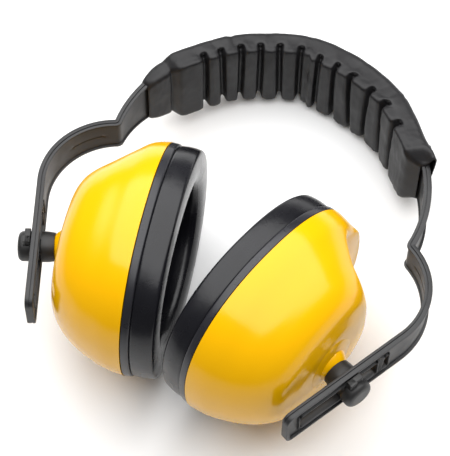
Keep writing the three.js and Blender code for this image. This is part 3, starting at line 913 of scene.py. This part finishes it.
def yellow_plastic():
    s = Shader("yellow_plastic", Specular_IOR_Level=0.37, Specular_Tint=(1.0, 0.92, 0.75, 1.0))
    tone = s.ramp(s.noise(9, 2), (0.3, (0.75, 0.385, 0.0)), (0.7, (0.78, 0.405, 0.0)))
    skin_bump = s.bump(s.noise(60, 2), 0.0001, 0.5)
    fine = s.bump(s.noise(1400, 2), 0.00001, 0.4, under=skin_bump)
    return s.connect(Base_Color=tone, Roughness=s.remap(s.noise(40, 4), 0.3, 0.7, 0.15, 0.21), Normal=fine)


def strap_plastic():
    s = Shader("strap_plastic", Specular_IOR_Level=0.4)
    tone = s.ramp(s.noise(30, 3), (0.3, (0.012, 0.012, 0.013)), (0.7, (0.018, 0.018, 0.019)))
    rough = s.remap(s.noise(120, 4), 0.3, 0.7, 0.36, 0.5)
    grain = s.bump(s.noise(2600, 3), 0.00003, 0.5)
    sink = s.bump(s.noise(90, 2), 0.00012, 0.4, under=grain)
    return s.connect(Base_Color=tone, Roughness=rough, Normal=sink)


def vinyl(name, dark, light, rough, cell_scale, depth):
    s = Shader(name, Specular_IOR_Level=0.33)
    tone = s.ramp(s.noise(45, 4), (0.3, dark), (0.7, light))
    roughness = s.remap(s.noise(80, 4), 0.3, 0.7, rough - 0.05, rough + 0.07)
    grain = s.bump(s.cells(cell_scale), depth, 0.35)
    folds = s.bump(s.noise(160, 3), 0.0003, 0.3, under=grain)
    return s.connect(Base_Color=tone, Roughness=roughness, Normal=folds)


def plate_plastic():
    s = Shader("plate_plastic", Specular_IOR_Level=0.4)
    tone = s.ramp(s.noise(40, 3), (0.3, (0.012, 0.012, 0.015)), (0.7, (0.018, 0.018, 0.022)))
    return s.connect(
        Base_Color=tone,
        Roughness=s.remap(s.noise(150, 3), 0.3, 0.7, 0.24, 0.36),
        Normal=s.bump(s.noise(1800, 2), 0.00002, 0.4),
    )


def fitting_plastic():
    s = Shader("fitting_plastic", Specular_IOR_Level=0.38)
    tone = s.ramp(s.noise(70, 3), (0.3, (0.012, 0.012, 0.012)), (0.7, (0.019, 0.018, 0.018)))
    return s.connect(
        Base_Color=tone,
        Roughness=s.remap(s.noise(200, 4), 0.3, 0.7, 0.38, 0.52),
        Normal=s.bump(s.noise(2200, 3), 0.00003, 0.5),
    )


def open_foam():
    s = Shader("open_foam", Specular_IOR_Level=0.2)
    # the colour is darker at the middle of each cell, where the bump below sinks the pore: painted shade in the
    # pores
    tone = s.ramp(s.cells(900), (0.1, (0.012, 0.012, 0.013)), (0.6, (0.05, 0.05, 0.052)))
    pores = s.bump(s.cells(900), 0.0006, 0.9)
    return s.connect(Base_Color=tone, Roughness=s.remap(s.noise(300), 0.3, 0.7, 0.85, 0.98), Normal=pores)


MATERIALS = {
    "yellow": yellow_plastic(),
    "strap": strap_plastic(),
    "pad": vinyl("pad_vinyl", (0.006, 0.0058, 0.0066), (0.011, 0.0105, 0.0115), 0.48, 1500, 0.00006),
    "cushion": vinyl("cushion_vinyl", (0.004, 0.004, 0.0055), (0.007, 0.007, 0.0095), 0.25, 2000, 0.00003),
    "plate": plate_plastic(),
    "fitting": fitting_plastic(),
    "foam": open_foam(),
}


def over_the_crown(made):
    """A one-piece part over the crown, with its placement baked into its mesh."""
    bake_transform(made)


over_the_crown(headband_strap(MATERIALS["strap"]))
pad = headband_pad(MATERIALS["pad"])
over_the_crown(pad)

for side in SIDES:
    cup_pieces = [
        cup_shell(side, MATERIALS["yellow"]),
        base_plate(side, MATERIALS["plate"]),
        ear_cushion(side, MATERIALS["cushion"]),
        cup_lining(side, MATERIALS["foam"]),
    ]
    for made in cup_pieces:
        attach(made, f"{side}_cup")
    for made in (outer_knob(side, MATERIALS["fitting"]), pivot_collar(side, MATERIALS["fitting"])):
        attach(made, f"{side}_slider")
    for hidden in ("ball_stud", "ball_seat"):
        frame["nodes"][f"{side}_{hidden}"].data.materials.clear()
        frame["nodes"][f"{side}_{hidden}"].data.materials.append(MATERIALS["fitting"])

# ------------------------------------------------------------ floor, light and camera
FLOOR_SIZE = 4.0
AMBIENT = 0.16
OVERHEAD = {"place": (-0.18, 0.06, 0.67), "tilt": -37.7, "turn": -5.0, "size": (1.32, 1.1), "power": 17.0}


def floor():
    bpy.ops.mesh.primitive_plane_add(size=FLOOR_SIZE)
    made = bpy.context.object
    made.name = "floor"
    s = Shader("pale_floor", Roughness=0.9, Specular_IOR_Level=0.1)
    tone = s.ramp(s.noise(3, 2), (0.3, (0.87, 0.87, 0.87)), (0.7, (0.89, 0.89, 0.89)))
    made.data.materials.append(s.connect(Base_Color=tone))


def softbox():
    """A lamp that shines down, tilted about the x axis and then turned about the vertical, in degrees."""
    light = bpy.data.lights.new("overhead", "AREA")
    light.shape = "RECTANGLE"
    light.size, light.size_y = OVERHEAD["size"]
    light.energy = OVERHEAD["power"]
    made = bpy.data.objects.new("overhead", light)
    bpy.context.scene.collection.objects.link(made)
    made.location = OVERHEAD["place"]
    made.rotation_euler = (math.radians(OVERHEAD["tilt"]), 0, math.radians(OVERHEAD["turn"]))


def studio():
    world = bpy.data.worlds.new("studio")
    world.use_nodes = True
    background = world.node_tree.nodes["Background"]
    background.inputs["Color"].default_value = (1, 1, 1, 1)
    background.inputs["Strength"].default_value = AMBIENT
    bpy.context.scene.world = world
    softbox()
    bpy.context.scene.view_settings.view_transform = "Standard"


# in the band's frame: where the camera aims, its azimuth, elevation and roll in degrees, and its distance
CAMERA = {
    "aim": (-5.275, 39.506, 0.0), "azimuth": 26.11, "elevation": 57.457, "roll": -0.713, "distance": 716.46,
}
LENS = {"focal": 142.424, "sensor": 36.0}


def camera():
    data = bpy.data.cameras.new("camera")
    data.sensor_fit = "AUTO"
    data.sensor_width = LENS["sensor"]
    data.lens = LENS["focal"]
    made = bpy.data.objects.new("camera", data)
    bpy.context.scene.collection.objects.link(made)
    turn, rise = math.radians(CAMERA["azimuth"]), math.radians(CAMERA["elevation"])
    back = Vector((math.sin(turn) * math.cos(rise), -math.cos(turn) * math.cos(rise), math.sin(rise)))
    right = Vector((math.cos(turn), math.sin(turn), 0))
    roll = Matrix.Rotation(math.radians(-CAMERA["roll"]), 3, back)
    right = roll @ right
    up = back.cross(right)
    place = BAND @ (Vector(CAMERA["aim"]) + back * CAMERA["distance"])
    made.matrix_world = axes(*[(BAND.to_3x3() @ v).normalized() / MM for v in (right, up, back)], place)
    bpy.context.scene.camera = made


floor()
studio()
camera()
